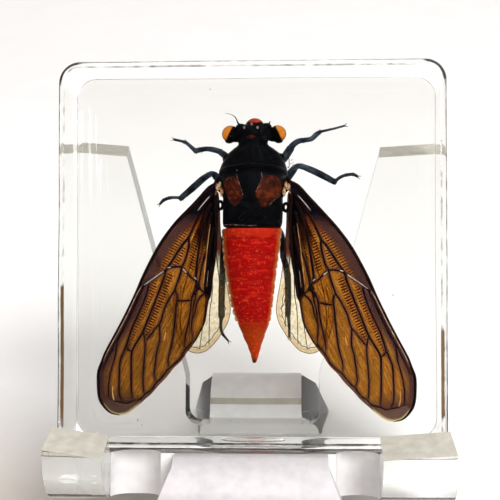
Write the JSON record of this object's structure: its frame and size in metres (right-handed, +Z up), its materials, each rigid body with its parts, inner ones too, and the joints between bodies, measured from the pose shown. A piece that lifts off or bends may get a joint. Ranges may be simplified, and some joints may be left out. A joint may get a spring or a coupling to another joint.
{
  "type": "insect in resin block",
  "caption": "Small winged cicada cast in a clear square resin block that leans on a one-piece bent acrylic easel, made for desk display and close viewing.",
  "frame": {"origin": "bottom centre of the whole part's bounding box, on the table under the easel", "axes": "+Z up; +X to the right as one looks at the insect's back; the block's front face looks to -Y and 21 degrees up"},
  "size_m": [0.0406, 0.0444, 0.0488],
  "materials": {
    "clear_resin": "clear cast resin, polished",
    "clear_acrylic": "clear acrylic sheet, saw-cut ends",
    "black_cuticle": "satin black cuticle with rust patches",
    "red_cuticle": "satin red cuticle",
    "leg_cuticle": "satin charcoal cuticle",
    "amber_wing": "amber membrane with dark veins",
    "pale_wing": "pale membrane with thin brown veins"
  },
  "bodies": {
    "root": {"resin_block_front": "clear_resin", "resin_block_back": "clear_resin", "cicada_head_thorax": "black_cuticle", "cicada_abdomen": "red_cuticle", "leg_fore_left": "leg_cuticle", "leg_fore_right": "leg_cuticle", "leg_mid_left": "leg_cuticle", "leg_mid_right": "leg_cuticle", "leg_hind_left": "leg_cuticle", "leg_hind_right": "leg_cuticle", "forewing_left": "amber_wing", "forewing_right": "amber_wing", "hindwing_left": "pale_wing", "hindwing_right": "pale_wing", "display_stand": "clear_acrylic"}
  },
  "joints": []
}
